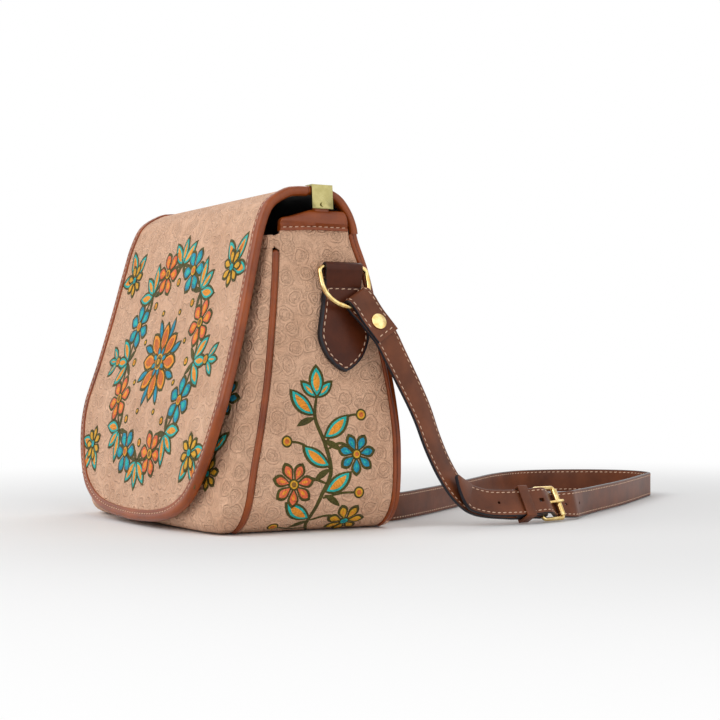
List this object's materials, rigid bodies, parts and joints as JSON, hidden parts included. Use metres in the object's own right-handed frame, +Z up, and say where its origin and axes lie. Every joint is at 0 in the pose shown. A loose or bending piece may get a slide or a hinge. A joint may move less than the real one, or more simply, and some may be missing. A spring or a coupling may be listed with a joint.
{
  "type": "saddle_handbag",
  "caption": "Saddle handbag in tan leather with a full fold-over flap, dark bound edges, piped seams, brass D-rings and clips, and a long brown buckled shoulder strap.",
  "frame": {"origin": "on the floor, under the middle of the base", "axes": "+X to the right as the flap is seen from the front, the flap on -Y, +Z up; metres"},
  "size_m": [0.2977, 0.5388, 0.2449],
  "materials": {
    "panel_leather": "satin",
    "binding_leather": "gloss",
    "strap_leather": "satin",
    "lining_cloth": "matte",
    "board": "matte",
    "brass": "polished"
  },
  "bodies": {
    "bag": {"back_panel": "panel_leather", "right_arch_binding": "binding_leather", "left_arch_binding": "binding_leather", "front_panel": "panel_leather", "mouth_binding": "binding_leather", "right_gusset": "panel_leather", "left_gusset": "panel_leather", "right_gusset_binding": "binding_leather", "left_gusset_binding": "binding_leather", "base_panel": "panel_leather", "base_board": "board", "front_piping": "binding_leather", "back_piping": "binding_leather", "lining": "lining_cloth", "front_lining": "lining_cloth", "slip_pocket": "lining_cloth", "snap_socket": "brass", "snap_back_plate": "brass", "right_edge_clip": "brass", "left_edge_clip": "brass", "clip_screws": "brass", "right_side_tab": "strap_leather", "left_side_tab": "strap_leather", "strap_buckle_piece": "strap_leather", "strap_tongue_piece": "strap_leather", "buckle_frame": "brass", "keeper_loop": "strap_leather"},
    "flap": {"flap_panel": "panel_leather", "flap_binding": "binding_leather", "snap_stud": "brass"},
    "right_ring": {"right_d_ring": "brass", "right_strap_rivet": "brass"},
    "left_ring": {"left_d_ring": "brass", "left_strap_rivet": "brass"},
    "prong": {"buckle_prong": "brass"},
    "roller": {"buckle_roller": "brass"}
  },
  "joints": [
    {"name": "flap_hinge", "type": "hinge", "parent": "bag", "child": "flap", "pos_m": [0, -0.0045, 0.2435], "axis": [-1, 0, 0], "range_deg": [0, 135]},
    {"name": "right_ring_swing", "type": "hinge", "parent": "bag", "child": "right_ring", "pos_m": [0.12337, 0.019, 0.18618], "axis": [0, -1, 0], "range_deg": [0, 90], "deforming": ["strap_buckle_piece"]},
    {"name": "left_ring_swing", "type": "hinge", "parent": "bag", "child": "left_ring", "pos_m": [-0.12337, 0.019, 0.18618], "axis": [0, 1, 0], "range_deg": [0, 90], "deforming": ["strap_tongue_piece"]},
    {"name": "prong_swing", "type": "hinge", "parent": "bag", "child": "prong", "pos_m": [0.136, 0.181, 0.01313], "axis": [-0.4975, -0.0498, 0.866], "range_deg": [-100, 0], "deforming": ["strap_tongue_piece"]},
    {"name": "roller_spin", "type": "hinge", "parent": "bag", "child": "roller", "pos_m": [0.13401, 0.2009, 0.01313], "axis": [-0.4975, -0.0498, 0.866], "continuous": true}
  ]
}
